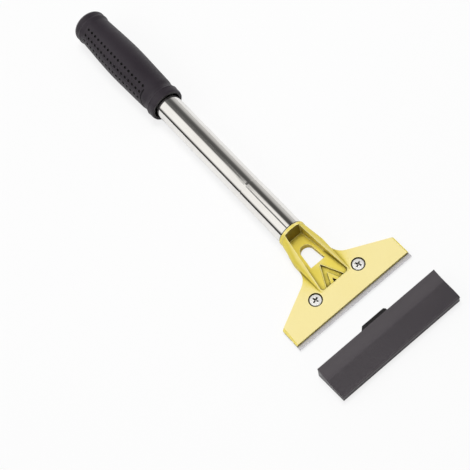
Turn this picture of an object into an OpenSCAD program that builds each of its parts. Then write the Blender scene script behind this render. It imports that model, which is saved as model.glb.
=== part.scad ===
// Long-handled razor blade scraper with its blade guard laid in front of the head.
// The head lies flat on the table and the handle rises a little, so that the grip touches it too.
// Frame: origin midway between the two clamp screws, on the underside of the clamp plate.
// +X points along the handle to the cutting edge, +Y along the blade, +Z up.

/* [Blade] */
// Length of the blade along the cutting edge
blade_l = 100; // [80:1:120]
// Width of the blade from cutting edge to back
blade_w = 17; // [16:0.5:17.4]
// Thickness of the blade
blade_t = 0.4; // [0.3:0.05:0.6]
// Blade that stands out in front of the head
blade_out = 3.4; // [2.5:0.1:4.5]
// Depth of the ground bevel at the cutting edge
blade_bevel = 1.1; // [0.6:0.1:1.6]
// Distance between the two locating holes
locating_gap = 50; // [46:1:60]
// Radius of a locating pin
locating_pin_r = 1; // [0.8:0.1:1.3]
// Amount by which a locating pin stands out under the blade
locating_pin_out = 0.35; // [0.2:0.05:0.5]
// Radius of the round notch in each end of the blade
blade_notch_r = 1.2; // [0.8:0.1:1.6]
// Amount by which the blade stands out past each end of the head
blade_side_out = 0.2; // [0:0.1:0.8]

/* [Head] */
// Thickness of the head's plate over the blade
plate_t = 2.7; // [2.5:0.1:4]
// Depth of the square end of each wing
wing_depth = 15; // [12:0.5:17]
// Distance from the front edge of the head to where a wing's back edge meets the neck
wing_root = 33.6; // [30:0.5:38]
// Width of the neck where the wings start
neck_w = 26.8; // [24:0.5:30]
// Radius of the blend between wing and neck
neck_blend_r = 13; // [8:0.5:15]
// Distance from the cutting edge to the end of the tube
collar_back = 66.7; // [62:0.5:76]
// Outer radius of the collar that the tube butts against
collar_r = 10.7; // [10.5:0.1:12]
// Length of the collar along the handle
collar_l = 2.4; // [1.8:0.1:4]
// Step from the collar down to the neck
collar_step = 0.3; // [0.2:0.05:0.6]
// Height of the handle's axis over the table at the collar
axis_h = 10.9; // [10.8:0.1:11.5]
// Length of the spigot inside the tube
spigot_l = 38; // [25:1:45]

/* [Pocket of the head] */
// Width of the pocket at its front end
pocket_front_w = 24; // [18:0.5:26]
// Width of the pocket at the collar
pocket_rear_w = 12.4; // [9:0.2:14]
// Height of the pocket's rim over the table, at the collar
rim_rear_h = 19.6; // [17:0.2:20.6]
// Height of the pocket's floor over the table, at the collar
floor_rear_h = 6.4; // [5:0.2:8]
// Depth of the pocket at its front end
pocket_front_depth = 1.2; // [0.6:0.1:1.4]
// Radius of the pocket's front corners
pocket_corner_r = 2; // [0.5:0.5:3]
// Length of the window through the floor
window_l = 16.4; // [10:0.2:18]
// Width of the window at its front edge
window_front_w = 12.4; // [8:0.2:13]
// Radius of the window's round back end
window_rear_r = 5; // [3:0.1:5.5]

/* [Chevron ribs] */
// Width of the thin outer rib
outer_rib_w = 0.5; // [0.4:0.1:0.7]
// Width of the broad inner rib
inner_rib_w = 2.2; // [1.4:0.1:2.3]
// Height of the outer rib over the floor beside it
rib_rise = 0.3; // [0.1:0.1:0.6]
// Depth of the recess inside the outer rib, under the floor
rib_recess = 1.3; // [0.6:0.1:1.4]

/* [Clamp] */
// Thickness of the clamp plate
clamp_t = 1.8; // [1.6:0.1:2.6]
// Distance from the front edge of the head back to the clamp screws
screw_back = 16.4; // [16.2:0.1:18]
// Distance between the two clamp screws
screw_gap = 38.4; // [34:0.2:44]
// Radius of a screw's shank
screw_r = 2; // [1.5:0.1:2.2]
// Radius of a screw's head
screw_head_r = 4.4; // [3.5:0.1:4.6]
// Height of a screw's head
screw_head_h = 1.4; // [1.2:0.1:1.5]
// Gap between a screw's head and the wall of its counterbore
counterbore_gap = 0.7; // [0.4:0.1:0.9]

/* [Handle tube] */
// Outer radius of the tube
tube_r = 10; // [9.6:0.1:10.2]
// Wall of the tube
tube_wall = 1.1; // [0.8:0.1:1.5]
// Length of the tube between collar and grip
tube_shown = 142; // [100:1:180]
// Length of tube inside the grip
tube_in_grip = 94; // [60:1:96]
// Length of the stretch expanded over the spigot
expanded_l = 40; // [30:1:46]
// Amount by which that stretch is larger in radius
expanded_rise = 0.12; // [0.05:0.01:0.2]

/* [Grip] */
// Length of the rubber grip
grip_l = 104; // [98:1:130]
// Radius of the flange at the mouth
grip_flange_r = 13.6; // [12.8:0.1:15]
// Radius of the waist behind the flange
grip_waist_r = 12.8; // [12.2:0.1:13.5]
// Radius of the shoulder where the barrel starts
grip_shoulder_r = 13.4; // [12.8:0.1:14]
// Radius at the middle of the barrel
grip_barrel_r = 14.4; // [13.6:0.1:16]
// Radius of the waist before the end bead
grip_rear_r = 12.8; // [12.2:0.1:13.5]
// Radius of the bead at the closed end
grip_bead_r = 13.3; // [12.6:0.1:13.6]
// Length of the flange
flange_l = 6.4; // [3:0.1:7]
// Length of the rounded closed end
dome_l = 6; // [4:0.5:8]
// Thickness of the closed end
grip_end_wall = 6; // [4:0.5:8]

/* [Blade guard] */
// Room between an end of the blade and the guard's end wall, at the mouth
guard_side_gap = 1.35; // [1.35:0.05:6]
// Amount by which each end draws in from mouth to nose
guard_draw = 0.9; // [0:0.1:0.9]
// Amount by which each end draws in from the table to the top of the mouth
guard_flare = 1; // [0:0.1:1]
// Depth of the guard from mouth to nose
guard_depth = 24.9; // [23:0.1:30]
// Height of the guard at its mouth
guard_mouth_h = 12; // [9.2:0.1:13]
// Height of the guard along its crease
guard_crease_h = 8.6; // [8.4:0.1:9]
// Height of the guard at its nose
guard_nose_h = 7.9; // [7.8:0.1:8.4]
// Thickness of the guard's top
guard_top_t = 1.2; // [1:0.1:1.3]
// Thickness of the guard's bottom
guard_bottom_t = 1; // [0.8:0.1:1]
// Thickness of the guard's nose wall
guard_nose_t = 1.8; // [1.2:0.1:2.2]
// Thickness of each end wall
guard_end_t = 1; // [0.8:0.1:1]
// Thickness of the lip that runs round the edge of the guard's top
guard_lip_t = 1.3; // [0.8:0.1:2]
// Amount by which the walls stand back under the lip
guard_lip_step = 0.25; // [0.1:0.05:0.3]
// Clear distance between the cutting edge and the guard's mouth
guard_gap = 20.8; // [15:0.1:40]
// Width of the tongue under the mouth
tongue_w = 24; // [16:0.5:34]
// Length of the tongue
tongue_l = 6.4; // [2:0.1:8]
// Thickness of the tongue
tongue_t = 0.8; // [0.6:0.1:0.8]

/* [Hidden] */
$fn = 96;
hull_sides = 36;

// One overrun for every cut, and the gaps of the fits
cut = 1;
press_gap = 0.05;
turn_gap = 0.07;
thread_gap = 0.05;
seat_gap = 0.05;
loose_gap = 0.3;
hole_gap = 0.15;

// Thickness of the thin slices between which a hull is spanned
slice_t = 0.5;

// Lengths that follow the blade
head_w = blade_l - 2 * blade_side_out;
guard_l = blade_l + 2 * (guard_side_gap + guard_end_t);

// Places along X, from the midpoint between the screws
edge_x = blade_out + screw_back;
front_x = screw_back;
wing_back_x = front_x - wing_depth;
wing_root_x = front_x - wing_root;
collar_x = edge_x - collar_back;
blade_back_x = edge_x - blade_w;
locating_x = edge_x - blade_w / 2;

// Heights over the table
seat_z = clamp_t + blade_t;
plate_top_z = seat_z + plate_t;
ledge_z = clamp_t + seat_gap;
screw_sunk = 0.2;
screw_seat_z = plate_top_z - screw_head_h - screw_sunk;
pin_tip_z = seat_z - blade_t - locating_pin_out;

// The handle rises so far that the barrel of the grip just touches the table
barrel_share = 0.5;
barrel_back = tube_shown + grip_l * barrel_share;
handle_rise = asin((grip_barrel_r - axis_h) / barrel_back);

// Neck: its widest place between wing and collar, how high its top is there, and where its base ends
neck_mid_share = 0.42;
neck_top_share = 0.68;
neck_base_share = 0.7;
neck_mid_x = between(wing_root_x, collar_x, neck_mid_share);
neck_base_x = between(wing_root_x, collar_x, neck_base_share);
neck_base_w = between(neck_w, collar_r * 2, neck_base_share);
pocket_wall = 1;

// Pocket: side outline and plan
pocket_start_share = 0.18;
window_start_share = 0.16;
pocket_front_x = wing_back_x - wing_depth * pocket_start_share;
pocket_rear_x = collar_x + collar_l;
floor_front_z = plate_top_z - pocket_front_depth;
floor_slope = (floor_rear_h - floor_front_z) / (pocket_front_x - pocket_rear_x);
window_front_x = wing_root_x - window_l * window_start_share;

// Chevrons: how far each apex lies behind the pocket's front end, and the half width at that end
outer_apex_share = 0.95;
outer_half_share = 0.36;
inner_apex_share = 0.51;
inner_half_share = 0.47;
outer_apex = (pocket_front_x - window_front_x) * outer_apex_share;
outer_half = pocket_front_w * outer_half_share;
inner_apex = outer_apex * inner_apex_share;
inner_half = outer_half * inner_half_share;

// Clamp plate
clamp_inset = 0.6;
clamp_back_share = 0.38;
clamp_back_x = wing_root_x + wing_depth * clamp_back_share;
clamp_chamfer = clamp_t / 2;

// Clamp screws: cross recess and dome as shares of the head, and how far each is turned
recess_w_share = 0.24;
recess_l_share = 1.27;
recess_floor_share = 0.4;
dome_share = 2.6;
screw_turn_left = 18;
screw_turn_right = 27;

// Guard
guard_mouth_x = edge_x + guard_gap;
guard_crease_share = 0.42;
// Points of the hollow curve from the mouth's top edge down to the crease: along, and down
guard_curve_shares = [[0.2, 0.3], [0.42, 0.58], [0.7, 0.84]];
guard_nose_l = guard_l - 2 * guard_draw;
// Corners of the tongue: one long slant, and one short one at the other end
tongue_side_share = 0.4;
tongue_slant_share = 0.6;
tongue_corner_share = 0.2;

// Point between a and b at share t, and the same with a soft start and end
function between(a, b, t) = a + (b - a) * t;
function eased(a, b, t) = a + (b - a) * (1 - cos(180 * t)) / 2;

// Height of the pocket's floor and of its rim at a place along X
function floor_z(x) = floor_front_z + (pocket_front_x - x) * floor_slope;

// Puts a shape that runs along +Z on the handle's axis, running back from the collar
module along_handle() {
    translate([collar_x, 0, axis_h])
        rotate([0, handle_rise, 0])
            rotate([0, -90, 0])
                children();
}

// Extrudes a side outline, drawn as X and Z, to both sides of the middle plane
module side_extrude(width) {
    translate([0, width / 2, 0])
        rotate([90, 0, 0])
            linear_extrude(width)
                children();
}

// Same shape at both ends of the blade
module both_sides() {
    children();
    mirror([0, 1, 0])
        children();
}

// Fills the corner between a wing's back edge and the neck with a round concave blend
module neck_blend() {
    corner = [wing_root_x, neck_w / 2];
    to_wing = [wing_back_x, head_w / 2] - corner;
    along_wing = to_wing / norm(to_wing);
    along_neck = [-1, 0];
    half_angle = acos(along_wing * along_neck) / 2;
    reach = neck_blend_r / tan(half_angle);
    bisector = along_wing + along_neck;
    centre = corner + bisector / norm(bisector) * neck_blend_r / sin(half_angle);
    difference() {
        polygon([corner + [cut, -cut], corner + along_wing * reach, centre, corner + along_neck * reach]);
        translate(centre)
            circle(neck_blend_r);
    }
}

// Plan of the head: two wings with square ends, blended into the neck
module head_plan() {
    polygon([
        [front_x, head_w / 2],
        [wing_back_x, head_w / 2],
        [wing_root_x, neck_w / 2],
        [neck_mid_x, neck_w / 2],
        [neck_base_x, neck_base_w / 2],
        [neck_base_x, -neck_base_w / 2],
        [neck_mid_x, -neck_w / 2],
        [wing_root_x, -neck_w / 2],
        [wing_back_x, -head_w / 2],
        [front_x, -head_w / 2]
    ]);
    both_sides()
        neck_blend();
}

// Flat-bottomed oval of the neck, one thin slice at a place along X
module neck_slice(x, half_w, top_z) {
    translate([x, 0, top_z / 2])
        rotate([90, 0, 90])
            linear_extrude(slice_t)
                scale([half_w, top_z / 2])
                    circle(1, $fn = hull_sides);
}

// Neck between plate and collar, swelling a little before it meets the wings
module neck_body() {
    mid_top = between(plate_top_z, rim_rear_h, neck_top_share);
    front_half = pocket_front_w / 2 + pocket_wall;
    hull() {
        along_handle()
            translate([0, 0, -collar_l])
                cylinder(r = collar_r - collar_step, h = collar_l / 2, $fn = hull_sides * 2);
        neck_slice(neck_mid_x, neck_w / 2, mid_top);
    }
    hull() {
        neck_slice(neck_mid_x, neck_w / 2, mid_top);
        translate([pocket_front_x, -front_half, ledge_z])
            cube([slice_t, front_half * 2, plate_top_z - ledge_z]);
    }
}

// Everything over the sloping rim of the pocket, taken off the neck
module over_the_rim() {
    side_extrude(neck_w * 2)
        polygon([
            [pocket_rear_x, rim_rear_h],
            [pocket_front_x + cut, plate_top_z],
            [pocket_front_x + cut, rim_rear_h * 2],
            [pocket_rear_x, rim_rear_h * 2]
        ]);
}

// Plan of the pocket, tapered to the rear and with round front corners
module pocket_plan() {
    flare = (pocket_front_w - pocket_rear_w) / 2 / (pocket_front_x - pocket_rear_x);
    corner = [pocket_front_x, pocket_front_w / 2] - [1, 1 + flare] * pocket_corner_r;
    polygon([
        [pocket_rear_x, -pocket_rear_w / 2],
        for (a = [-90 : 15 : 0]) [corner[0], -corner[1]] + [cos(a), sin(a)] * pocket_corner_r,
        for (a = [0 : 15 : 90]) corner + [cos(a), sin(a)] * pocket_corner_r,
        [pocket_rear_x, pocket_rear_w / 2]
    ]);
}

// The pocket: sloping floor in side view, tapered in plan
module pocket() {
    intersection() {
        linear_extrude(rim_rear_h * 2)
            pocket_plan();
        side_extrude(neck_w * 2)
            polygon([
                [pocket_rear_x - cut, floor_z(pocket_rear_x - cut)],
                [pocket_front_x + cut, floor_z(pocket_front_x + cut)],
                [pocket_front_x + cut, rim_rear_h * 2],
                [pocket_rear_x - cut, rim_rear_h * 2]
            ]);
    }
}

// Window through the floor, round at the back
module window() {
    round_x = window_front_x - window_l + window_rear_r;
    translate([0, 0, -cut])
        linear_extrude(rim_rear_h) {
            polygon([
                [window_front_x, window_front_w / 2],
                [round_x, window_rear_r],
                [round_x, -window_rear_r],
                [window_front_x, -window_front_w / 2]
            ]);
            translate([round_x, 0])
                circle(window_rear_r);
        }
}

// Plan of a chevron's outer triangle, its open end at the front of the pocket
module chevron_plan(apex, half, inset) {
    spread = inset * norm([apex, half]) / half;
    polygon([
        [pocket_front_x - apex + spread, 0],
        [pocket_front_x, half - inset * norm([apex, half]) / apex],
        [pocket_front_x, inset * norm([apex, half]) / apex - half]
    ]);
}

// Slab of a chevron plan between two heights over the sloping floor
module chevron_slab(apex, half, inset, low, high) {
    intersection() {
        linear_extrude(rim_rear_h)
            chevron_plan(apex, half, inset);
        side_extrude(neck_w)
            polygon([
                [pocket_front_x - outer_apex * 2, floor_z(pocket_front_x - outer_apex * 2) + low],
                [pocket_front_x + cut, floor_z(pocket_front_x + cut) + low],
                [pocket_front_x + cut, floor_z(pocket_front_x + cut) + high],
                [pocket_front_x - outer_apex * 2, floor_z(pocket_front_x - outer_apex * 2) + high]
            ]);
    }
}

// Counterbore and clearance hole of one clamp screw
module screw_hole() {
    translate([0, screw_gap / 2, screw_seat_z])
        cylinder(r = screw_head_r + counterbore_gap, h = plate_t);
    translate([0, screw_gap / 2, 0])
        cylinder(r = screw_r + turn_gap, h = plate_top_z);
}

module head_casting() {
    color("goldenrod") {
        difference() {
            union() {
                translate([0, 0, ledge_z])
                    linear_extrude(plate_top_z - ledge_z)
                        head_plan();
                difference() {
                    neck_body();
                    over_the_rim();
                }
                along_handle() {
                    translate([0, 0, -collar_l])
                        cylinder(r = collar_r, h = collar_l);
                    translate([0, 0, -collar_l / 2])
                        cylinder(r = tube_r - tube_wall - press_gap, h = spigot_l + collar_l / 2);
                }
            }
            pocket();
            window();
            chevron_slab(outer_apex, outer_half, outer_rib_w, -rib_recess, rim_rear_h);
            chevron_slab(inner_apex, inner_half, inner_rib_w, -rim_rear_h, rim_rear_h);
            both_sides()
                screw_hole();
            // Seat of the blade, open at the front and at both ends
            translate([blade_back_x - hole_gap, -head_w, -cut])
                cube([blade_w * 2, head_w * 2, seat_z + cut]);
            // Room for the clamp plate
            translate([clamp_back_x - loose_gap, -head_w, -cut])
                cube([head_w, head_w * 2, ledge_z + cut]);
            // Flat underside of the neck
            translate([collar_x - cut, -neck_w, -cut])
                cube([collar_back, neck_w * 2, cut + loose_gap]);
        }
        // Outer chevron rib, on the floor round the recess
        difference() {
            chevron_slab(outer_apex, outer_half, 0, -rib_recess, rib_rise);
            chevron_slab(outer_apex, outer_half, outer_rib_w, -rib_recess * 2, rib_rise * 2);
        }
        // Inner chevron rib, in the recess
        difference() {
            chevron_slab(inner_apex, inner_half, 0, -rib_recess - seat_gap, 0);
            chevron_slab(inner_apex, inner_half, inner_rib_w, -rim_rear_h, rim_rear_h);
        }
        // Locating pins for the blade
        both_sides()
            translate([locating_x, locating_gap / 2, pin_tip_z])
                cylinder(r = locating_pin_r, h = seat_z - pin_tip_z + seat_gap);
    }
}

module clamp_plate() {
    half_front = head_w / 2 - clamp_inset;
    wing_angle = atan2(wing_depth - wing_root, (head_w - neck_w) / 2);
    back_half = head_w / 2 - (wing_back_x - clamp_back_x) / tan(-wing_angle) - clamp_inset * 2;
    color("goldenrod")
        difference() {
            linear_extrude(clamp_t)
                polygon([
                    [front_x - clamp_inset, half_front],
                    [wing_back_x, half_front],
                    [clamp_back_x, back_half],
                    [clamp_back_x, -back_half],
                    [wing_back_x, -half_front],
                    [front_x - clamp_inset, -half_front]
                ]);
            // Bevel under the front edge
            side_extrude(head_w * 2)
                polygon([
                    [front_x - clamp_inset - clamp_chamfer, -cut],
                    [front_x - clamp_inset - clamp_chamfer, 0],
                    [front_x - clamp_inset, clamp_chamfer],
                    [front_x + cut, clamp_chamfer],
                    [front_x + cut, -cut]
                ]);
            both_sides() {
                translate([0, screw_gap / 2, -cut])
                    cylinder(r = screw_r + thread_gap, h = clamp_t + cut * 2);
                translate([locating_x, locating_gap / 2, -cut])
                    cylinder(r = locating_pin_r + loose_gap, h = clamp_t + cut * 2);
            }
        }
}

module blade() {
    edge_low_share = 0.45;
    bevel_x = edge_x - blade_bevel;
    color("lightsteelblue")
        translate([0, 0, clamp_t])
            difference() {
                side_extrude(blade_l)
                    polygon([
                        [blade_back_x, 0],
                        [bevel_x, 0],
                        [edge_x, blade_t * edge_low_share],
                        [edge_x, blade_t * (1 - edge_low_share)],
                        [bevel_x, blade_t],
                        [blade_back_x, blade_t]
                    ]);
                both_sides() {
                    translate([locating_x, locating_gap / 2, -cut])
                        cylinder(r = locating_pin_r + hole_gap, h = blade_t + cut * 2);
                    translate([locating_x, blade_l / 2, -cut])
                        cylinder(r = blade_notch_r, h = blade_t + cut * 2);
                }
            }
}

// One clamp screw on its own axis: domed head, cross recess and plain shank
module clamp_screw() {
    recess_w = screw_head_r * recess_w_share;
    recess_l = screw_head_r * recess_l_share;
    dome_r = screw_head_r * dome_share;
    color("silver")
        difference() {
            union() {
                intersection() {
                    translate([0, 0, screw_seat_z])
                        cylinder(r = screw_head_r, h = screw_head_h);
                    translate([0, 0, screw_seat_z + screw_head_h - dome_r])
                        sphere(dome_r);
                }
                translate([0, 0, seat_gap])
                    cylinder(r = screw_r, h = screw_seat_z + screw_head_h / 4);
            }
            for (turn = [0, 90])
                rotate([0, 0, turn])
                    translate([-recess_l / 2, -recess_w / 2, screw_seat_z + screw_head_h * recess_floor_share])
                        cube([recess_l, recess_w, screw_head_h]);
        }
}

module clamp_screw_left() {
    translate([0, -screw_gap / 2, 0])
        rotate([0, 0, screw_turn_left])
            clamp_screw();
}

module clamp_screw_right() {
    translate([0, screw_gap / 2, 0])
        rotate([0, 0, screw_turn_right])
            clamp_screw();
}

module handle_tube() {
    tube_l = tube_shown + tube_in_grip;
    color("lightgray")
        along_handle()
            difference() {
                union() {
                    cylinder(r = tube_r, h = tube_l);
                    cylinder(r = tube_r + expanded_rise, h = expanded_l);
                    translate([0, 0, expanded_l])
                        cylinder(r1 = tube_r + expanded_rise, r2 = tube_r, h = tube_wall);
                }
                translate([0, 0, -cut])
                    cylinder(r = tube_r - tube_wall, h = tube_l + cut * 2);
            }
}

// Stations of the grip's outside: distance behind the mouth, and radius there
flange_taper_share = 0.06;
flange_round_share = 0.25;
waist_share = 0.096;
shoulder_share = 0.138;
rear_waist_share = 0.865;
bead_share = 0.905;
grip_stations = [
    [0, grip_flange_r - flange_l * flange_taper_share],
    [flange_l * flange_round_share, grip_flange_r],
    [flange_l, grip_flange_r],
    [grip_l * waist_share, grip_waist_r],
    [grip_l * shoulder_share, grip_shoulder_r],
    [grip_l * barrel_share, grip_barrel_r],
    [grip_l * rear_waist_share, grip_rear_r],
    [grip_l * bead_share, grip_bead_r],
    [grip_l - dome_l, grip_bead_r]
];

// Soft curve through two neighbouring stations, as radius and distance
function grip_span(a, b, steps) =
    [for (i = [0 : steps - 1]) [eased(a[1], b[1], i / steps), between(a[0], b[0], i / steps)]];

module grip_sleeve() {
    short_steps = 4;
    long_steps = 14;
    straight_l = grip_l - dome_l;
    color([0.2, 0.19, 0.21])
        along_handle()
            translate([0, 0, tube_shown])
                difference() {
                    rotate_extrude()
                        polygon([
                            [0, 0],
                            for (k = [0 : len(grip_stations) - 2])
                                let (a = grip_stations[k], b = grip_stations[k + 1])
                                each grip_span(a, b, b[0] - a[0] > grip_l * waist_share ? long_steps : short_steps),
                            for (a = [0 : 7.5 : 82.5]) [grip_bead_r * cos(a), straight_l + dome_l * sin(a)],
                            [0, grip_l]
                        ]);
                    translate([0, 0, -cut])
                        cylinder(r = tube_r + press_gap, h = grip_l - grip_end_wall + cut);
                    // The mouth opens a little round the tube
                    translate([0, 0, -cut])
                        cylinder(r1 = tube_r + tube_wall, r2 = tube_r + press_gap, h = flange_l + cut);
                }
}

// Side outline of the guard, drawn back from its mouth
module guard_outline() {
    crease_x = guard_depth * guard_crease_share;
    nose_round = guard_nose_t / 2;
    polygon([
        [0, 0],
        [0, guard_mouth_h],
        for (p = guard_curve_shares) [crease_x * p[0], between(guard_mouth_h, guard_crease_h, p[1])],
        [crease_x, guard_crease_h],
        [guard_depth - nose_round, guard_nose_h],
        [guard_depth, guard_nose_h - nose_round],
        [guard_depth, nose_round],
        [guard_depth - nose_round, 0]
    ]);
}

// Side outline of what lies under the lip round the guard's top
module under_lip_outline() {
    crease_x = guard_depth * guard_crease_share;
    polygon([
        [-cut, -cut],
        [-cut, guard_mouth_h - guard_lip_t],
        [0, guard_mouth_h - guard_lip_t],
        for (p = guard_curve_shares)
            [crease_x * p[0], between(guard_mouth_h, guard_crease_h, p[1]) - guard_lip_t],
        [crease_x, guard_crease_h - guard_lip_t],
        [guard_depth + cut, guard_nose_h - guard_lip_t],
        [guard_depth + cut, -cut]
    ]);
}

// Outside of the guard, its walls standing back a little under the lip
module guard_outside() {
    difference() {
        intersection() {
            side_extrude(guard_l)
                guard_outline();
            linear_extrude(guard_mouth_h)
                guard_plan(0);
            guard_front(0);
        }
        difference() {
            side_extrude(guard_l + cut * 2)
                under_lip_outline();
            intersection() {
                translate([-guard_lip_step, 0, 0])
                    linear_extrude(guard_mouth_h)
                        guard_plan(guard_lip_step);
                guard_front(guard_lip_step);
            }
        }
    }
}

// Side outline of the space inside the guard
module guard_space() {
    crease_x = guard_depth * guard_crease_share;
    polygon([
        [-cut, guard_bottom_t],
        [-cut, guard_mouth_h - guard_top_t],
        [0, guard_mouth_h - guard_top_t],
        for (p = guard_curve_shares)
            [crease_x * p[0], between(guard_mouth_h, guard_crease_h, p[1]) - guard_top_t],
        [crease_x, guard_crease_h - guard_top_t],
        [guard_depth - guard_nose_t, guard_nose_h - guard_top_t],
        [guard_depth - guard_nose_t, guard_bottom_t]
    ]);
}

// Plan of the guard, drawn in a little towards the nose
module guard_plan(side_wall) {
    mouth_half = guard_l / 2 - side_wall;
    nose_half = guard_nose_l / 2 - side_wall;
    polygon([
        [-cut, mouth_half + guard_draw * cut / guard_depth],
        [guard_depth, nose_half],
        [guard_depth, -nose_half],
        [-cut, -mouth_half - guard_draw * cut / guard_depth]
    ]);
}

// Front view of the guard, its ends leaning in towards the top
module guard_front(side_wall) {
    low_half = guard_l / 2 - side_wall;
    translate([-cut, 0, 0])
        rotate([90, 0, 90])
            linear_extrude(guard_depth + cut * 2)
                polygon([
                    [-low_half, 0],
                    [low_half, 0],
                    [low_half - guard_flare, guard_mouth_h],
                    [guard_flare - low_half, guard_mouth_h]
                ]);
}

module blade_guard() {
    color("dimgray")
        translate([guard_mouth_x, 0, 0]) {
            difference() {
                guard_outside();
                intersection() {
                    side_extrude(guard_l)
                        guard_space();
                    linear_extrude(guard_mouth_h)
                        guard_plan(guard_end_t);
                    guard_front(guard_end_t);
                }
            }
            // Tongue that slips under the clamp plate
            linear_extrude(tongue_t)
                polygon([
                    [cut, -tongue_w / 2],
                    [-tongue_l * tongue_side_share, -tongue_w / 2],
                    [-tongue_l, -tongue_w / 2 + tongue_l * tongue_slant_share],
                    [-tongue_l, tongue_w / 2 - tongue_l * tongue_corner_share],
                    [-tongue_l * (1 - tongue_corner_share), tongue_w / 2],
                    [cut, tongue_w / 2]
                ]);
        }
}

head_casting();
clamp_plate();
blade();
clamp_screw_left();
clamp_screw_right();
handle_tube();
grip_sleeve();
blade_guard();
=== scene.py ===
# Long-handled razor blade scraper, its blade guard laid in front of the head.
# Metres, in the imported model's frame: +X to the cutting edge, +Y along the blade, +Z up.
import math

import bmesh
import bpy
from mathutils import Matrix, Vector


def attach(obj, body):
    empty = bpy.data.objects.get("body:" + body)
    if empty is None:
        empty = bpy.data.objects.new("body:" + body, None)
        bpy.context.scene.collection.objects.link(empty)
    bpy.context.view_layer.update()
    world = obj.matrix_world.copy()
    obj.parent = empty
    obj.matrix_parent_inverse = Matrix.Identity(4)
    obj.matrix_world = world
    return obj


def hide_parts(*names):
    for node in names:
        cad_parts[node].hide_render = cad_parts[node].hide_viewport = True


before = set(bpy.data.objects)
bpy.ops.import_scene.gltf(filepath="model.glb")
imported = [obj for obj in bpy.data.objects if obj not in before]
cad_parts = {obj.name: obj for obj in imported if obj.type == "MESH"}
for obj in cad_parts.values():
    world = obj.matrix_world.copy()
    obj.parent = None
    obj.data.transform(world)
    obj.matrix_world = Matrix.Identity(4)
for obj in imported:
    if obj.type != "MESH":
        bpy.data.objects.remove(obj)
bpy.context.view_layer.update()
MM = 0.001

# Places and sizes that the model has too, in millimetres
COLLAR_X = -46.9
AXIS_H = 10.9
TUBE_R = 10.0
TUBE_WALL = 1.1
TUBE_SHOWN = 142.0
TUBE_HIDDEN = 94.0
EXPANDED_RISE = 0.12
GRIP_L = 104.0
GRIP_BARREL_R = 14.4
BARREL_SHARE = 0.5
WING_TOP_Z = 4.9
WING_END_Y = 49.8
SCREW_GAP = 38.4
SCREW_R = 2.0
SCREW_SEAT_Z = 3.3
SCREW_HEAD_R = 4.4
SCREW_HEAD_H = 1.4

# The handle rises by this angle, so that the grip's barrel lies on the table
RISE = math.asin((GRIP_BARREL_R - AXIS_H) / (TUBE_SHOWN + GRIP_L * BARREL_SHARE))

# Edges that turn by fewer degrees than this are shaded as one curved face
SMOOTH_ANGLE = 35


# Nodes


def is_socket(value):
    return isinstance(value, bpy.types.NodeSocket)


class Nodes:
    """A node tree, and short ways to add to it. An input takes a value or another node's output."""

    def __init__(self, tree):
        self.tree = tree
        tree.nodes.clear()

    def node(self, kind, inputs=None, **settings):
        made = self.tree.nodes.new(kind)
        for name, value in settings.items():
            setattr(made, name, value)
        for name, value in (inputs or {}).items():
            if is_socket(value):
                self.tree.links.new(value, made.inputs[name])
            else:
                made.inputs[name].default_value = value
        return made

    def maths(self, operation, first, second=0.0):
        return self.node("ShaderNodeMath", {0: first, 1: second}, operation=operation).outputs[0]

    def times(self, first, second):
        return self.maths("MULTIPLY", first, second)

    def dot(self, first, second):
        made = self.node("ShaderNodeVectorMath", {0: first, 1: second}, operation="DOT_PRODUCT")
        return made.outputs["Value"]

    def split(self, vector):
        return self.node("ShaderNodeSeparateXYZ", {0: vector}).outputs

    def remap(self, value, low, high, low_out=0.0, high_out=1.0):
        """Moves a value from one range to another, and keeps it within that."""
        ends = {"From Min": low, "From Max": high, "To Min": low_out, "To Max": high_out}
        return self.node("ShaderNodeMapRange", {"Value": value, **ends}).outputs["Result"]

    def ramp(self, value, stops):
        made = self.node("ShaderNodeValToRGB", {"Fac": value})
        band = made.color_ramp
        while len(band.elements) < len(stops):
            band.elements.new(0.5)
        for element, (place, colour) in zip(band.elements, stops):
            element.position = place
            element.color = (*colour, 1)
        return made.outputs["Color"]

    def curve(self, value, points):
        """A level that follows straight lines from point to point."""
        made = self.node("ShaderNodeFloatCurve", {"Value": value})
        line = made.mapping.curves[0]
        while len(line.points) < len(points):
            line.points.new(0.5, 0.5)
        for point, place in zip(line.points, points):
            point.location = place
            point.handle_type = "VECTOR"
        made.mapping.update()
        return made.outputs["Value"]

    def mix(self, share, first, second):
        """The first colour where the share is 0, the second where it is 1."""
        # The node has sockets for other kinds too. Inputs 6 and 7 and output 2 are the colours
        first, second = (value if is_socket(value) else (*value, 1) for value in (first, second))
        return self.node("ShaderNodeMix", {0: share, 6: first, 7: second}, data_type="RGBA").outputs[2]

    def mix_shader(self, share, first, second):
        return self.node("ShaderNodeMixShader", {0: share, 1: first, 2: second}).outputs["Shader"]


# Materials

WHITE = (1, 1, 1, 1)
# Nearly all of a noise lies between these two levels
NOISE_LOW, NOISE_HIGH = 0.3, 0.7
SHADE_SAMPLES = 8
EDGE_SAMPLES = 6

# Places where painted shade and sheen change, in millimetres
POCKET_REAR_X = (-25.0, -22.0)
SIDE_WALL_Z = (5.8, 6.4)
REAR_WALL_Z = (6.0, 6.6)
OFF_TOP_H = (0.1, 0.3)
TUBE_SHADE_X = (-47.8, -47.5)
TONGUE_X = (40.0, 40.5)


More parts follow.
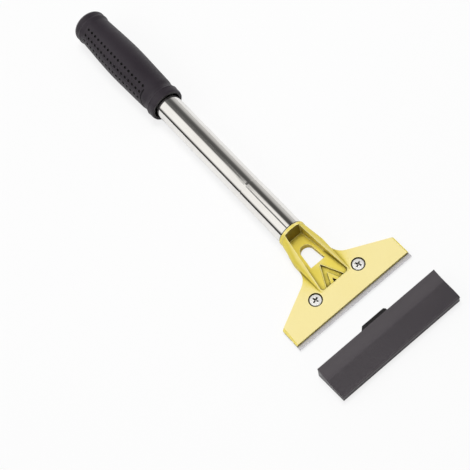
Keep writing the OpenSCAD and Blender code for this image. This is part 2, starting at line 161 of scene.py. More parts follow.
class Finish(Nodes):
    """One procedural material on the piece's own coordinates. Its masks run from 0 to 1."""

    def __init__(self, name, **constants):
        self.material = bpy.data.materials.new(name)
        self.material.use_nodes = True
        super().__init__(self.material.node_tree)
        self.shader = self.node("ShaderNodeBsdfPrincipled")
        for socket, value in constants.items():
            self.shader.inputs[socket.replace("_", " ")].default_value = value
        self.out = self.node("ShaderNodeOutputMaterial", {"Surface": self.shader.outputs["BSDF"]})
        self.where = self.node("ShaderNodeTexCoord").outputs["Object"]

    def place(self, scale=(1, 1, 1)):
        return self.node("ShaderNodeMapping", {"Vector": self.where, "Scale": scale}).outputs["Vector"]

    def normal(self):
        return self.node("ShaderNodeNewGeometry").outputs["Normal"]

    def noise(self, vector, scale, detail=3.0):
        made = self.node("ShaderNodeTexNoise", {"Vector": vector, "Scale": scale, "Detail": detail})
        return made.outputs["Fac"]

    def mottle(self, noise, low, high):
        """A colour that varies with a noise."""
        return self.ramp(noise, [(NOISE_LOW, low), (NOISE_HIGH, high)])

    def vary(self, noise, low, high):
        """A level that varies with a noise."""
        return self.remap(noise, NOISE_LOW, NOISE_HIGH, low, high)

    def change(self, place, ends, before, after):
        """A level that goes from one value to another between two places in millimetres."""
        return self.remap(place, ends[0] * MM, ends[1] * MM, before, after)

    def openness(self, reach):
        """1 on an open face, less where something within reach, in millimetres, stands round it."""
        made = self.node("ShaderNodeAmbientOcclusion", {"Distance": reach * MM}, samples=SHADE_SAMPLES)
        return made.outputs["AO"]

    def flatness(self, radius):
        """1 on a flat face, less within a radius, in millimetres, of an edge."""
        made = self.node("ShaderNodeBevel", {"Radius": radius * MM}, samples=EDGE_SAMPLES)
        return self.dot(made.outputs["Normal"], self.normal())

    def feed(self, name, value):
        self.tree.links.new(value, self.shader.inputs[name])

    def bump(self, height, strength, depth):
        made = self.node("ShaderNodeBump", {"Height": height, "Strength": strength, "Distance": depth * MM})
        self.feed("Normal", made.outputs["Normal"])


def gold_paint():
    """Gold lacquer, rich yellow in the pocket, with a painted sheen that lightens the open top, painted
    highlights on its edges and painted brown shade on the walls and in the narrow recesses.
    """
    f = Finish("gold lacquer on casting", Metallic=0.12, Specular_IOR_Level=0.25)
    at = f.place()
    cloud = f.noise(at, 38.0, 4.0)
    facing = f.split(f.normal())
    spot = f.split(at)
    pocket_rear = f.change(spot["X"], POCKET_REAR_X, 1.0, 0.0)
    sky = f.openness(16.0)
    hollow = f.openness(4.0)

    # Painted sheen: the lighter tone on open faces that look up, less on level ones at another height than
    # the wings' top
    from_top = f.maths("ABSOLUTE", f.maths("SUBTRACT", spot["Z"], WING_TOP_Z * MM))
    sunk = f.times(f.remap(facing["Z"], 0.93, 0.97, 0.0, 0.8), f.change(from_top, OFF_TOP_H, 0.0, 1.0))
    sheen_share = f.times(f.remap(facing["Z"], 0.72, 0.99), f.remap(sky, 0.86, 0.99))
    sheen_share = f.times(sheen_share, f.remap(sunk, 0.0, 1.0, 1.0, 0.0))
    full = f.mottle(cloud, (0.82, 0.675, 0.095), (0.87, 0.715, 0.12))
    light = f.mottle(cloud, (0.955, 0.825, 0.37), (0.965, 0.84, 0.395))
    tone = f.mix(sheen_share, full, light)

    # Painted shade: brown on upright walls that little light reaches, most on those that face the cutting
    # edge
    wall_shade = f.times(f.remap(facing["Z"], 0.1, 0.5, 1.0, 0.0), f.remap(sky, 0.30, 0.60, 0.92, 0.0))
    wall_shade = f.times(wall_shade, f.remap(facing["X"], 0.2, 0.9, 0.5, 1.0))
    wall_shade = f.times(wall_shade, f.change(spot["Z"], SIDE_WALL_Z, 0.25, 1.0))
    tone = f.mix(wall_shade, tone, (0.20, 0.145, 0.003))
    rear_wall_shade = f.times(f.remap(facing["X"], 0.45, 0.8, 0.0, 0.95), pocket_rear)
    rear_wall_shade = f.times(rear_wall_shade, f.change(spot["Z"], REAR_WALL_Z, 0.0, 1.0))
    tone = f.mix(rear_wall_shade, tone, (0.19, 0.135, 0.003))

    # Painted highlights on the edges and along the bottom of the pocket's rear walls, painted shade in the
    # creases
    edge = f.times(f.remap(f.flatness(0.6), 0.84, 0.98, 0.75, 0.0), f.remap(hollow, 0.75, 0.95))
    tone = f.mix(edge, tone, (1.0, 0.95, 0.58))
    foot_highlight = f.times(f.remap(f.openness(1.1), 0.6, 0.9, 0.8, 0.0), pocket_rear)
    tone = f.mix(foot_highlight, tone, (1.0, 0.93, 0.42))
    recess_shade = f.times(f.remap(hollow, 0.42, 0.88, 1.0, 0.0), f.remap(pocket_rear, 0.0, 1.0, 1.0, 0.12))
    f.feed("Base Color", f.mix(recess_shade, tone, (0.07, 0.045, 0.002)))
    f.feed("Roughness", f.vary(cloud, 0.32, 0.42))
    f.bump(f.noise(at, 900.0), 0.08, 0.2)
    return f.material


def blade_steel():
    """Ground steel with fine lines along the blade."""
    f = Finish("ground blade steel", Metallic=0.45)
    lines = f.noise(f.place(scale=(1, 0.02, 1)), 2600.0, 2.0)
    cloud = f.noise(f.place(), 60.0)
    f.feed("Base Color", f.mottle(cloud, (0.64, 0.63, 0.67), (0.72, 0.71, 0.74)))
    f.feed("Roughness", f.vary(lines, 0.34, 0.48))
    f.bump(lines, 0.05, 0.1)
    return f.material


def bright_nickel():
    """Polished tube with faint lines along it, and painted shade where it meets the collar."""
    f = Finish("bright nickel tube", Metallic=1.0)
    at = f.place()
    lines = f.noise(f.place(scale=(0.03, 1, 1)), 1500.0, 2.0)
    tone = f.mottle(f.noise(at, 45.0), (0.86, 0.84, 0.81), (0.91, 0.895, 0.865))
    # Painted shade on the tube next to the collar
    collar_shade = f.change(f.split(at)["X"], TUBE_SHADE_X, 0.0, 0.9)
    f.feed("Base Color", f.mix(collar_shade, tone, (0.05, 0.04, 0.015)))
    f.feed("Roughness", f.vary(lines, 0.05, 0.11))
    f.bump(lines, 0.02, 0.05)
    return f.material


def plated_screw():
    """Satin plating, with painted shade in the recess and round the head."""
    f = Finish("satin plated screw", Metallic=0.3)
    at = f.place()
    cloud = f.noise(at, 160.0)
    tone = f.mottle(cloud, (0.90, 0.89, 0.85), (0.95, 0.94, 0.91))
    # Painted shade in the cross recess and round the head
    recess_shade = f.remap(f.openness(1.5), 0.62, 0.97, 1.0, 0.0)
    f.feed("Base Color", f.mix(recess_shade, tone, (0.03, 0.027, 0.02)))
    f.feed("Roughness", f.vary(cloud, 0.30, 0.40))
    f.bump(f.noise(at, 1800.0, 2.0), 0.06, 0.1)
    return f.material


def black_rubber():
    """Moulded rubber, with painted shade that makes its dimples and grooves black."""
    f = Finish("black moulded rubber", Specular_IOR_Level=0.38)
    at = f.place()
    grain = f.noise(at, 2600.0)
    tone = f.mottle(f.noise(at, 30.0, 4.0), (0.022, 0.017, 0.023), (0.029, 0.023, 0.030))
    # Painted shade: black in the dimples and the grooves
    recess_shade = f.remap(f.openness(3.2), 0.66, 0.985, 1.0, 0.0)
    f.feed("Base Color", f.mix(recess_shade, tone, (0.001, 0.001, 0.001)))
    f.feed("Roughness", f.vary(grain, 0.42, 0.58))
    f.bump(grain, 0.18, 0.2)
    return f.material


def guard_plastic():
    """Dark plastic, with a painted sheen where it slopes to the front, painted highlights on its edges and
    painted shade, near black, on the tongue.
    """
    f = Finish("dark grey moulded plastic", Specular_IOR_Level=0.6)
    at = f.place()
    cloud = f.noise(at, 22.0, 4.0)
    grain = f.noise(at, 2000.0, 2.0)
    plain = f.mottle(cloud, (0.037, 0.031, 0.037), (0.045, 0.038, 0.044))
    # Painted sheen: greyer where the faces slope to the front
    front_sheen = f.mottle(cloud, (0.054, 0.046, 0.053), (0.066, 0.057, 0.064))
    tone = f.mix(f.remap(f.split(f.normal())["X"], 0.07, 0.14), plain, front_sheen)
    # Painted highlight: paler along the edges
    tone = f.mix(f.remap(f.flatness(0.5), 0.86, 0.985, 0.6, 0.0), tone, (0.13, 0.12, 0.125))
    # Painted shade: near black on the tongue under the mouth
    tongue = f.change(f.split(at)["X"], TONGUE_X, 1.0, 0.0)
    f.feed("Base Color", f.mix(tongue, tone, (0.006, 0.005, 0.006)))
    f.feed("Roughness", f.vary(grain, 0.30, 0.40))
    f.bump(grain, 0.10, 0.15)
    return f.material


GOLD = gold_paint()
STEEL = blade_steel()
NICKEL = bright_nickel()
SCREW = plated_screw()
RUBBER = black_rubber()
PLASTIC = guard_plastic()


# Meshes

# Points less than this apart are one point
SAME_POINT = 1e-6
# Faces that turn by fewer degrees than this are one flat face
SAME_FACE_ANGLE = 0.6


def handle_frame():
    """Turns a piece drawn with Z back along the handle and X upwards onto the handle."""
    c, s = math.cos(RISE), math.sin(RISE)
    turn = Matrix(((s, 0, -c), (0, 1, 0), (c, 0, s))).to_4x4()
    return Matrix.Translation(Vector((COLLAR_X, 0, AXIS_H)) * MM) @ turn @ Matrix.Scale(MM, 4)


def object_from(name, bm):
    mesh = bpy.data.meshes.new(name)
    bm.to_mesh(mesh)
    bm.free()
    obj = bpy.data.objects.new(name, mesh)
    bpy.context.scene.collection.objects.link(obj)
    return obj


def dress(obj, material):
    obj.data.materials.clear()
    obj.data.materials.append(material)


def shade(obj, angle=SMOOTH_ANGLE):
    for face in obj.data.polygons:
        face.use_smooth = True
    obj.data.set_sharp_from_angle(angle=math.radians(angle))


def new_piece(name, bm, material, angle=SMOOTH_ANGLE):
    obj = object_from(name, bm)
    dress(obj, material)
    shade(obj, angle)
    return obj


def eased(a, b, t):
    """From a to b as t goes from 0 to 1, level at both ends."""
    return a + (b - a) * (1 - math.cos(math.pi * t)) / 2


def rounded(a, b, c, radius, steps=4):
    """Points of a round corner at b between a and c."""
    a, b, c = Vector(a), Vector(b), Vector(c)
    start = b + (a - b).normalized() * radius
    end = b + (c - b).normalized() * radius
    return [
        tuple((1 - t) ** 2 * start + 2 * t * (1 - t) * b + t * t * end)
        for t in (i / steps for i in range(steps + 1))
    ]


def revolve(profile, sides):
    """Closed solid of revolution round Z. The profile is (radius, height), closed or from pole to pole."""
    bm = bmesh.new()
    rings = []
    for r, height in profile:
        if r < SAME_POINT:
            rings.append([bm.verts.new((0, 0, height))])
            continue
        angles = [math.tau * i / sides for i in range(sides)]
        rings.append([bm.verts.new((r * math.cos(a), r * math.sin(a), height)) for a in angles])
    if len(rings[0]) > 1:
        rings.append(rings[0])
    for low, high in zip(rings, rings[1:]):
        for i in range(sides):
            j = (i + 1) % sides
            if len(low) == 1:
                bm.faces.new((low[0], high[j], high[i]))
            elif len(high) == 1:
                bm.faces.new((low[i], low[j], high[0]))
            else:
                bm.faces.new((low[i], low[j], high[j], high[i]))
    bmesh.ops.recalc_face_normals(bm, faces=bm.faces)
    return bm


def merged_copy(node, name):
    """A copy of a node's mesh with its doubles merged and its flat faces joined."""
    bm = bmesh.new()
    bm.from_mesh(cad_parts[node].data)
    bmesh.ops.remove_doubles(bm, verts=bm.verts, dist=SAME_POINT)
    flat = math.radians(SAME_FACE_ANGLE)
    bmesh.ops.dissolve_limit(bm, angle_limit=flat, verts=bm.verts, edges=bm.edges)
    return object_from(name, bm)


def apply_modifiers(obj):
    """Bakes the live modifiers into the mesh and removes them."""
    depsgraph = bpy.context.evaluated_depsgraph_get()
    mesh = bpy.data.meshes.new_from_object(obj.evaluated_get(depsgraph))
    mesh.name = obj.name
    obj.modifiers.clear()
    obj.data = mesh


def soften_edges(obj, width, segments, angle, slight=13):
    """Rounds the edges over an angle in degrees. Those between slight and that angle stay crisp."""
    bm = bmesh.new()
    bm.from_mesh(obj.data)
    for edge in bm.edges:
        crease = edge.calc_face_angle(0.0) if len(edge.link_faces) == 2 else 0.0
        edge.smooth = not math.radians(slight) < crease <= math.radians(angle)
    for face in bm.faces:
        face.smooth = True
    bm.to_mesh(obj.data)
    bm.free()
    bevel = obj.modifiers.new("edges", "BEVEL")
    bevel.width = width * MM
    bevel.segments = segments
    bevel.limit_method = "ANGLE"
    bevel.angle_limit = math.radians(angle)
    flat = obj.modifiers.new("flat faces", "WEIGHTED_NORMAL")
    flat.keep_sharp = True
    apply_modifiers(obj)


# Head, clamp plate and blade

# Facet on the wings' ends, in millimetres, wider at the rear by the second size
FACET_W = 1.1
FACET_REAR_EXTRA = 0.9
# The wings' rear edges run this many millimetres back for each one towards the middle
REAR_EDGE_SLOPE = 0.51
# A vertex lies on a face that it is this close to, in millimetres
NEAR = 0.02


def cut_wing_facets(obj):
    """Cuts a sloping facet along the top of each wing's end."""
    bm = bmesh.new()
    bm.from_mesh(obj.data)

    def on_top(vert):
        return vert.co.z > (WING_TOP_Z - NEAR) * MM

    def at_end(vert, side):
        return vert.co.y * side > (WING_END_Y - NEAR) * MM

    def inside_facet(vert):
        return abs(abs(vert.co.y) - (WING_END_Y - FACET_W) * MM) < NEAR * MM

    ends = [
        edge for edge in bm.edges for side in (-1, 1)
        if all(on_top(vert) and at_end(vert, side) for vert in edge.verts)
    ]
    bmesh.ops.bevel(bm, geom=ends, offset=FACET_W * MM, segments=1, profile=0.5, affect="EDGES")
    inner = [vert for vert in bm.verts if on_top(vert) and inside_facet(vert)]
    rear = min(vert.co.x for vert in inner)
    for vert in inner:
        if vert.co.x < rear + NEAR * MM:
            vert.co.y -= math.copysign(FACET_REAR_EXTRA * MM, vert.co.y)
            vert.co.x -= FACET_REAR_EXTRA * REAR_EDGE_SLOPE * MM
    bm.to_mesh(obj.data)
    bm.free()


head = merged_copy("head_casting", "cast_head")
cut_wing_facets(head)
soften_edges(head, width=0.28, segments=2, angle=28)
dress(head, GOLD)
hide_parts("head_casting")
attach(head, "tool")

clamp = merged_copy("clamp_plate", "clamp_plate_body")
soften_edges(clamp, width=0.15, segments=2, angle=28)
dress(clamp, GOLD)
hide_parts("clamp_plate")
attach(clamp, "clamp")

dress(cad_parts["blade"], STEEL)


# Screws, in millimetres

CROWN_H = 0.30
CROWN_SHARE = 0.84
CROWN_STEPS = 8
RIM_DROP = 0.12
RIM_ROUND = 0.45
SHANK_END_Z = 0.05
SHANK_CHAMFER = 0.2
SCREW_SIDES = 64

# Cross recess: its arms and half their width at the top and at the bottom
RECESS_ARM, RECESS_HALF_W = 2.8, 0.6
RECESS_LOW_ARM, RECESS_LOW_HALF_W = 1.5, 0.38
RECESS_FLOOR_H = 0.25
RECESS_OVERRUN = 0.3
RECESS_CORNER_SHARE = 1.25


def screw_profile():
    """Pan head from its crown to the end of the shank, as radius and height."""
    top = SCREW_SEAT_Z + SCREW_HEAD_H
    points = [(0, top)]
    for i in range(1, CROWN_STEPS + 1):
        r = SCREW_HEAD_R * CROWN_SHARE * i / CROWN_STEPS
        points.append((r, top - CROWN_H * (r / SCREW_HEAD_R) ** 2))
    rim = (SCREW_HEAD_R, points[-1][1] - RIM_DROP)
    seat = (SCREW_HEAD_R, SCREW_SEAT_Z)
    points += rounded(points[-1], rim, seat, RIM_ROUND)
    points += [seat, (SCREW_R, SCREW_SEAT_Z), (SCREW_R, SHANK_END_Z + SHANK_CHAMFER)]
    points += [(SCREW_R - SHANK_CHAMFER, SHANK_END_Z), (0, SHANK_END_Z)]
    return [(r * MM, z * MM) for r, z in points]


def cross_cutter():
    """Tapered cross that cuts the recess, wide at the top."""
    bm = bmesh.new()

    def outline(arm, half_w, z):
        points = []
        corner = half_w * RECESS_CORNER_SHARE
        for quarter in range(4):
            a = quarter * math.pi / 2
            for along, across in ((arm, -half_w), (arm, half_w), (corner, corner)):
                x = along * math.cos(a) - across * math.sin(a)
                y = along * math.sin(a) + across * math.cos(a)
                points.append(bm.verts.new((x * MM, y * MM, z * MM)))
        return points

    upper = outline(RECESS_ARM, RECESS_HALF_W, SCREW_SEAT_Z + SCREW_HEAD_H + RECESS_OVERRUN)
    lower = outline(RECESS_LOW_ARM, RECESS_LOW_HALF_W, SCREW_SEAT_Z + RECESS_FLOOR_H)
    bm.faces.new(upper)
    bm.faces.new(list(reversed(lower)))
    for i in range(len(upper)):
        j = (i + 1) % len(upper)
        bm.faces.new((lower[i], lower[j], upper[j], upper[i]))
    bmesh.ops.recalc_face_normals(bm, faces=bm.faces)
    return new_piece("cross_cutter", bm, SCREW)


def make_screw(name, node, body, side, turn):
    """A screw on one side of the head, its recess turned by an angle in degrees."""
    screw = new_piece(name, revolve(screw_profile(), SCREW_SIDES), SCREW)
    cutter = cross_cutter()
    cut = screw.modifiers.new("recess", "BOOLEAN")
    cut.object = cutter
    cut.operation = "DIFFERENCE"
    apply_modifiers(screw)
    bpy.data.objects.remove(cutter)
    place = Matrix.Translation((0, side * SCREW_GAP / 2 * MM, 0))
    screw.data.transform(place @ Matrix.Rotation(math.radians(turn), 4, "Z"))
    shade(screw)
    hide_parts(node)
    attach(screw, body)


make_screw("cross_screw_left", "clamp_screw_left", "screw_left", side=-1, turn=18)
make_screw("cross_screw_right", "clamp_screw_right", "screw_right", side=1, turn=27)


# Tube, in millimetres

# The reflections step this far from the collar in the picture
EXPANDED_L = 45.5
TUBE_CHAMFER = 0.25
# A ring of points close to an edge keeps the shading of the long face beside it straight
TUBE_FIRST_RING = 0.6
RING_GAP = 0.4
TUBE_SIDES = 160
TUBE_SMOOTH_ANGLE = 30


def make_tube():
    """Tube whose first stretch is expanded over the head's spigot, with an eased step behind it."""
    inside = TUBE_R - TUBE_WALL
    wide = TUBE_R + EXPANDED_RISE
    length = TUBE_SHOWN + TUBE_HIDDEN
    profile = [(inside, 0.0), (wide - TUBE_CHAMFER, 0.0), (wide, TUBE_CHAMFER), (wide, TUBE_FIRST_RING)]
    profile += [(wide, EXPANDED_L - RING_GAP), (wide, EXPANDED_L)]
    for t in (0.25, 0.5, 0.75, 1):
        profile.append((wide - eased(0.0, EXPANDED_RISE, t), EXPANDED_L + TUBE_WALL * t))
    profile += [(TUBE_R, EXPANDED_L + TUBE_WALL + RING_GAP), (TUBE_R, length - RING_GAP)]
    profile += [(TUBE_R, length), (inside, length)]
    tube = new_piece("bright_tube", revolve(profile, TUBE_SIDES), NICKEL, TUBE_SMOOTH_ANGLE)
    tube.data.transform(handle_frame())
    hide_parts("handle_tube")
    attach(tube, "tool")


make_tube()


# Grip, in millimetres

# Distance back from the mouth and radius: flange, waist, barrel, rear waist and bead
GRIP_STATIONS = [
    (0, 13.2), (1.6, 13.6), (5.4, 13.6), (6.1, 13.85), (6.9, 13.3), (10.0, 12.8), (14.35, 13.45),
    (26, 13.8), (52, 14.4), (70, 13.85), (82, 13.2), (90.6, 12.8), (92.4, 13.1), (93.6, 13.5),
    (94.2, 13.5), (95.2, 13.15), (98, 13.3),
]
# The stations from the first of these to the second are joined by one smooth curve
BARREL_FIRST, BARREL_LAST = 6, 11
GRIP_STEPS = 196
GRIP_SIDES = 128
DOME_DEGREES = range(82, 0, -7)
DOME_FULLNESS = 0.85
# Radius and distance back at the mouth of the bore, which then narrows to the tube
GRIP_MOUTH = [(11.3, 0.0), (10.95, 0.5)]
GRIP_FLARE_L = 3.6
GRIP_BORE_R = 10.06
GRIP_BORE_L = 97.0

# Inputs of the dimple tree: rows of dimples on two opposite panels, each with a bowed groove
GRIP_PATTERN = {
    "First Row": 18.6,
    "Pitch": 4.34,
    "Count": 17,
    "Row Angle": math.radians(22.5),
    "Panel Angle": math.radians(-45.5),
    "Length": 1.15,
    "Width": 1.0,
    "Depth": 1.3,
    "Groove Start": math.radians(-28),
    "Groove Sweep": math.radians(-61),
    "Groove Place": 16.1,
    "Groove Bow": 8.3,
    "Groove Radius": 0.6,
}
PANELS = 2
ROWS = 3
# The cutters start on a ring outside the grip and move in to its surface
START_R = 16.0
GROOVE_POINTS = 48
GROOVE_SIDES = 10
# Share of the groove's length at which it comes nearest to the dimples
GROOVE_TOP_SHARE = 0.23


def grip_radius(u):
    """Radius at a distance back from the mouth: eased steps, but one smooth curve on the barrel."""
    for i, ((a, ra), (b, rb)) in enumerate(zip(GRIP_STATIONS, GRIP_STATIONS[1:])):
        if u > b:
            continue
        t = (u - a) / (b - a)
        if not BARREL_FIRST <= i < BARREL_LAST:
            return eased(ra, rb, t)
        before = GRIP_STATIONS[max(i - 1, BARREL_FIRST)]
        after = GRIP_STATIONS[min(i + 2, BARREL_LAST)]
        slope_a = (rb - before[1]) / (b - before[0]) * (b - a)
        slope_b = (after[1] - ra) / (after[0] - a) * (b - a)
        return (
            (2 * t ** 3 - 3 * t ** 2 + 1) * ra + (t ** 3 - 2 * t ** 2 + t) * slope_a
            + (3 * t ** 2 - 2 * t ** 3) * rb + (t ** 3 - t ** 2) * slope_b
        )


def grip_profile():
    """Outside of the grip from its closed end to the mouth, then the bore."""
    dome_start, dome_r = GRIP_STATIONS[-1]
    dome_l = GRIP_L - dome_start
    points = [(0, GRIP_L)]
    for degrees in DOME_DEGREES:
        a = math.radians(degrees)
        points.append((dome_r * math.cos(a) ** DOME_FULLNESS, dome_start + dome_l * math.sin(a)))
    for i in range(GRIP_STEPS):
        u = dome_start * (1 - i / GRIP_STEPS)
        points.append((grip_radius(u), u))
    points += [(GRIP_STATIONS[0][1], 0.0), *GRIP_MOUTH]
    points += [(GRIP_BORE_R, GRIP_FLARE_L), (GRIP_BORE_R, GRIP_BORE_L), (0, GRIP_BORE_L)]
    return points


def ring_place(nodes, angle, height):
    """A place on the cutters' ring, at an angle round the grip and a height along it."""
    return nodes.node("ShaderNodeCombineXYZ", {
        "X": nodes.times(nodes.maths("COSINE", angle), START_R),
        "Y": nodes.times(nodes.maths("SINE", angle), START_R),
        "Z": height,
    }).outputs["Vector"]


def moved(nodes, geometry, position):
    made = nodes.node("GeometryNodeSetPosition", {"Geometry": geometry, "Position": position})
    return made.outputs["Geometry"]


def dimple_cutters(nodes, given, surface, index):
    """Oval beads in rows on every panel, each turned to face outwards."""
    grid = nodes.node("GeometryNodeMeshLine", {"Count": nodes.times(given["Count"], ROWS * PANELS)})
    along = nodes.maths("FLOORED_MODULO", index, given["Count"])
    line = nodes.maths("FLOOR", nodes.maths("DIVIDE", index, given["Count"]))
    row = nodes.maths("FLOORED_MODULO", line, float(ROWS))
    panel = nodes.maths("FLOOR", nodes.maths("DIVIDE", line, float(ROWS)))
    height = nodes.maths("ADD", nodes.times(along, given["Pitch"]), given["First Row"])
    off_middle = nodes.times(nodes.maths("SUBTRACT", row, 1.0), given["Row Angle"])
    angle = nodes.maths("ADD", off_middle, given["Panel Angle"])
    angle = nodes.maths("ADD", angle, nodes.times(panel, math.tau / PANELS))
    placed = moved(nodes, grid.outputs["Mesh"], ring_place(nodes, angle, height))
    landed = moved(nodes, placed, surface)
    outward = nodes.node("ShaderNodeCombineXYZ", {
        "X": nodes.maths("COSINE", angle),
        "Y": nodes.maths("SINE", angle),
    })
    facing = {"Vector": outward.outputs["Vector"]}
    turn = nodes.node("FunctionNodeAlignRotationToVector", facing, axis="X", pivot_axis="Z")
    sizes = {"X": given["Depth"], "Y": given["Width"], "Z": given["Length"]}
    size = nodes.node("ShaderNodeCombineXYZ", sizes).outputs["Vector"]
    bead = nodes.node("GeometryNodeMeshIcoSphere", {"Radius": 1.0, "Subdivisions": 2})
    oval = nodes.node("GeometryNodeTransform", {"Geometry": bead.outputs["Mesh"], "Scale": size})
    beads = nodes.node("GeometryNodeInstanceOnPoints", {
        "Points": landed,
        "Instance": oval.outputs["Geometry"],
        "Rotation": turn.outputs["Rotation"],
    })
    loose = nodes.node("GeometryNodeRealizeInstances", {"Geometry": beads.outputs["Instances"]})
    return loose.outputs["Geometry"]


def groove_cutter(nodes, given, surface, index):
    """A round cord laid on the surface in a bow in front of the dimples."""
    path = nodes.node("GeometryNodeMeshLine", {"Count": GROOVE_POINTS})
    share = nodes.maths("DIVIDE", index, GROOVE_POINTS - 1.0)
    from_top = nodes.maths("ABSOLUTE", nodes.maths("SUBTRACT", share, GROOVE_TOP_SHARE))
    bend = nodes.times(nodes.maths("POWER", from_top, 2.0), given["Groove Bow"])
    angle = nodes.maths("ADD", nodes.times(share, given["Groove Sweep"]), given["Groove Start"])
    height = nodes.maths("SUBTRACT", given["Groove Place"], bend)
    laid = moved(nodes, path.outputs["Mesh"], ring_place(nodes, angle, height))
    line = nodes.node("GeometryNodeMeshToCurve", {"Mesh": moved(nodes, laid, surface)})
    circle = {"Resolution": GROOVE_SIDES, "Radius": given["Groove Radius"]}
    section = nodes.node("GeometryNodeCurvePrimitiveCircle", circle)
    cord = nodes.node("GeometryNodeCurveToMesh", {
        "Curve": line.outputs["Curve"],
        "Profile Curve": section.outputs["Curve"],
        "Fill Caps": True,
    })
    return cord.outputs["Mesh"]


def dimple_tree():
    """Cuts the rows of dimples and the grooves in front of them into a grip."""
    tree = bpy.data.node_groups.new("grip dimples", "GeometryNodeTree")
    face = tree.interface
    face.new_socket("Geometry", in_out="INPUT", socket_type="NodeSocketGeometry")
    for name, value in GRIP_PATTERN.items():
        kind = "NodeSocketInt" if isinstance(value, int) else "NodeSocketFloat"
        face.new_socket(name, in_out="INPUT", socket_type=kind).default_value = value
    face.new_socket("Material", in_out="INPUT", socket_type="NodeSocketMaterial")
    face.new_socket("Geometry", in_out="OUTPUT", socket_type="NodeSocketGeometry")
    nodes = Nodes(tree)
    given = nodes.node("NodeGroupInput").outputs
    index = nodes.node("GeometryNodeInputIndex").outputs["Index"]
    nearest = nodes.node("GeometryNodeProximity", {"Geometry": given["Geometry"]}, target_element="FACES")
    surface = nearest.outputs["Position"]
    beads = dimple_cutters(nodes, given, surface, index)
    cord = groove_cutter(nodes, given, surface, index)
    half_turn = {"Geometry": cord, "Rotation": (0, 0, math.pi)}
    opposite = nodes.node("GeometryNodeTransform", half_turn).outputs["Geometry"]
    cutters = nodes.node("GeometryNodeJoinGeometry")
    for made in (opposite, cord, beads):
        tree.links.new(made, cutters.inputs["Geometry"])
    meshes = {"Mesh 1": given["Geometry"], "Mesh 2": cutters.outputs["Geometry"]}
    cut = nodes.node("GeometryNodeMeshBoolean", meshes, operation="DIFFERENCE", solver="EXACT")
    real = nodes.node("GeometryNodeRealizeInstances", {"Geometry": cut.outputs["Mesh"]})
    covered = {"Geometry": real.outputs["Geometry"], "Material": given["Material"]}
    painted = nodes.node("GeometryNodeSetMaterial", covered)
    nodes.node("NodeGroupOutput", {"Geometry": painted.outputs["Geometry"]})
    return tree


def run_tree(obj, tree, inputs):
    """Runs a node tree on an object with its inputs set, and keeps the result as a plain mesh."""
    modifier = obj.modifiers.new(tree.name, "NODES")
    modifier.node_group = tree
    for item in tree.interface.items_tree:
        if item.item_type == "SOCKET" and item.in_out == "INPUT" and item.name in inputs:
            modifier[item.identifier] = inputs[item.name]
    apply_modifiers(obj)


def make_grip():
    grip = new_piece("rubber_grip", revolve(grip_profile(), GRIP_SIDES), RUBBER)
    run_tree(grip, dimple_tree(), {**GRIP_PATTERN, "Material": RUBBER})
    dress(grip, RUBBER)
    grip.data.transform(handle_frame() @ Matrix.Translation((0, 0, TUBE_SHOWN)))
    shade(grip)
    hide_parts("grip_sleeve")
    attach(grip, "tool")


make_grip()


# Guard

guard = merged_copy("blade_guard", "guard_shell")
soften_edges(guard, width=0.3, segments=3, angle=24, slight=4)
dress(guard, PLASTIC)
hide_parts("blade_guard")
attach(guard, "guard")


# Floor, light and camera

FLOOR_HALF = 6.0
FLOOR_DROP = 0.0001
# Share of plain white in what the camera sees of the floor
FLOOR_LIFT = 0.8

# What bright metal mirrors: degrees of tilt from straight up, less than 0 on the left, and level.
# The near stops hold round the expanded stretch of the tube, the far stops behind it
FAR_STOPS = [
    (-90, 0.02), (-78, 0.03), (-70, 0.60), (-62, 1.0), (-14, 1.0), (-6, 0.85), (-1, 0.16),
    (14, 0.12), (30, 0.08), (48, 0.12), (62, 0.45), (76, 0.58), (90, 0.60),
]
NEAR_STOPS = [
    (-90, 0.02), (-78, 0.03), (-70, 0.60), (-62, 1.0), (-16, 1.0), (-15.2, 0.03), (-7.2, 0.03),
    (-6.5, 0.95), (14, 0.95), (20, 0.20), (29, 0.06), (48, 0.10), (62, 0.45), (76, 0.58), (90, 0.60),
]
MIRROR_TINT = (1, 0.99, 0.97)
# The far stops turn into the near ones between these X parts of the direction
STEP_X = (-0.4235, -0.4215)
# Strength from the handle's side of the set to the front: share of the way and level.
# A curve ends at level 1, so its levels are divided by this unit
FRONT_LEVELS = [(0.0, 0.7), (0.335, 0.7), (0.37, 0.2), (0.475, 0.2), (0.575, 1.0), (1.0, 1.0)]
FRONT_UNIT = 0.7

# Soft light on everything else, brightest from this direction
SOFT_FROM = (-0.97, -0.24, 0)
SOFT_LOW, SOFT_HIGH = 0.08, 0.72

# Camera, from points of the object found in the picture
AZIMUTH, ELEVATION, ROLL = 71.72, 62.75, -23.16
DISTANCE, AIM, VIEW_ANGLE = 0.91066, (-0.07854, -0.02776, 0.0), 20.6


def make_floor():
    """White table top. The camera sees it nearly plain white, and it keeps the object's shadow."""
    f = Finish("white table", Roughness=0.9, Specular_IOR_Level=0.1)
    f.feed("Base Color", f.mottle(f.noise(f.place(), 3.0), (0.84, 0.84, 0.84), (0.86, 0.86, 0.86)))
    plain = f.node("ShaderNodeEmission", {"Color": WHITE, "Strength": 1.0}).outputs["Emission"]
    share = f.times(f.node("ShaderNodeLightPath").outputs["Is Camera Ray"], FLOOR_LIFT)
    blend = f.mix_shader(share, f.shader.outputs["BSDF"], plain)
    f.tree.links.new(blend, f.out.inputs["Surface"])
    bm = bmesh.new()
    bmesh.ops.create_grid(bm, x_segments=2, y_segments=2, size=FLOOR_HALF)
    floor = new_piece("table_top", bm, f.material)
    floor.data.transform(Matrix.Translation((0, 0, -FLOOR_DROP)))


make_floor()


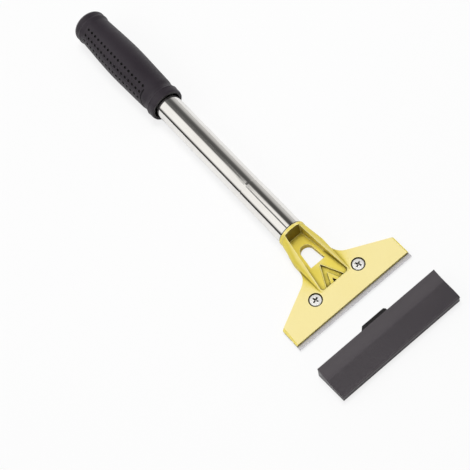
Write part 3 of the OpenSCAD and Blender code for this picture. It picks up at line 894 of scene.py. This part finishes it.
def mirrored_set(sky, direction):
    """What bright metal shows: bands of light and dark along the handle."""
    toward = sky.split(direction)
    tilt = sky.maths("ARCTAN2", toward["Y"], toward["Z"])
    spread = sky.remap(tilt, -math.pi / 2, math.pi / 2)
    bands = [
        sky.ramp(spread, [((at + 90) / 180, [level * part for part in MIRROR_TINT]) for at, level in stops])
        for stops in (FAR_STOPS, NEAR_STOPS)
    ]
    colour = sky.mix(sky.remap(toward["X"], *STEP_X), *bands)
    level = sky.curve(sky.remap(toward["X"], -1.0, 1.0), FRONT_LEVELS)
    strength = sky.maths("DIVIDE", level, FRONT_UNIT)
    return sky.node("ShaderNodeBackground", {"Color": colour, "Strength": strength}).outputs[0]


def make_world():
    """Studio: bands for bright metal to mirror, soft light for the rest, and plain white behind it all."""
    world = bpy.data.worlds.new("studio")
    bpy.context.scene.world = world
    world.use_nodes = True
    sky = Nodes(world.node_tree)
    direction = sky.node("ShaderNodeTexCoord").outputs["Generated"]
    fall = sky.remap(sky.dot(direction, SOFT_FROM), -1.0, 1.0, SOFT_LOW, SOFT_HIGH)
    soft = sky.node("ShaderNodeBackground", {"Color": WHITE, "Strength": fall}).outputs[0]
    white = sky.node("ShaderNodeBackground", {"Color": WHITE, "Strength": 1.0}).outputs[0]
    ray = sky.node("ShaderNodeLightPath").outputs
    lit = sky.mix_shader(ray["Is Glossy Ray"], soft, mirrored_set(sky, direction))
    seen = sky.mix_shader(ray["Is Camera Ray"], lit, white)
    sky.node("ShaderNodeOutputWorld", {"Surface": seen})


make_world()


def soft_lamp(name, place, aim, size, power):
    data = bpy.data.lights.new(name, "AREA")
    data.shape = "RECTANGLE"
    data.size, data.size_y = size
    data.energy = power
    lamp = bpy.data.objects.new(name, data)
    bpy.context.scene.collection.objects.link(lamp)
    lamp.location = place
    lamp.visible_glossy = False
    lamp.rotation_mode = "QUATERNION"
    lamp.rotation_quaternion = (Vector(aim) - Vector(place)).to_track_quat("-Z", "Y")


soft_lamp("key above the handle", place=(-0.24, 0.12, 1.30), aim=(-0.05, 0, 0), size=(0.5, 0.4), power=11.0)
soft_lamp("fill from the left", place=(-0.25, -1.0, 0.9), aim=(-0.08, 0, 0), size=(1.2, 0.6), power=2.0)


def make_camera():
    """Looks at the aim from a distance, at an angle round it, an angle above it and a roll."""
    az, el, ro = (math.radians(v) for v in (AZIMUTH, ELEVATION, ROLL))
    right = Vector((math.cos(az), math.sin(az), 0))
    ahead = Vector((-math.sin(az), math.cos(az), 0))
    back = math.cos(el) * -ahead + math.sin(el) * Vector((0, 0, 1))
    up = back.cross(right)
    right, up = math.cos(ro) * right + math.sin(ro) * up, -math.sin(ro) * right + math.cos(ro) * up
    data = bpy.data.cameras.new("camera")
    data.angle = math.radians(VIEW_ANGLE)
    data.clip_start, data.clip_end = 0.01, 50
    camera = bpy.data.objects.new("camera", data)
    bpy.context.scene.collection.objects.link(camera)
    turn = Matrix((right, up, back)).transposed().to_4x4()
    camera.matrix_world = Matrix.Translation(Vector(AIM) + back * DISTANCE) @ turn
    bpy.context.scene.camera = camera


make_camera()
bpy.context.scene.view_settings.view_transform = "Standard"
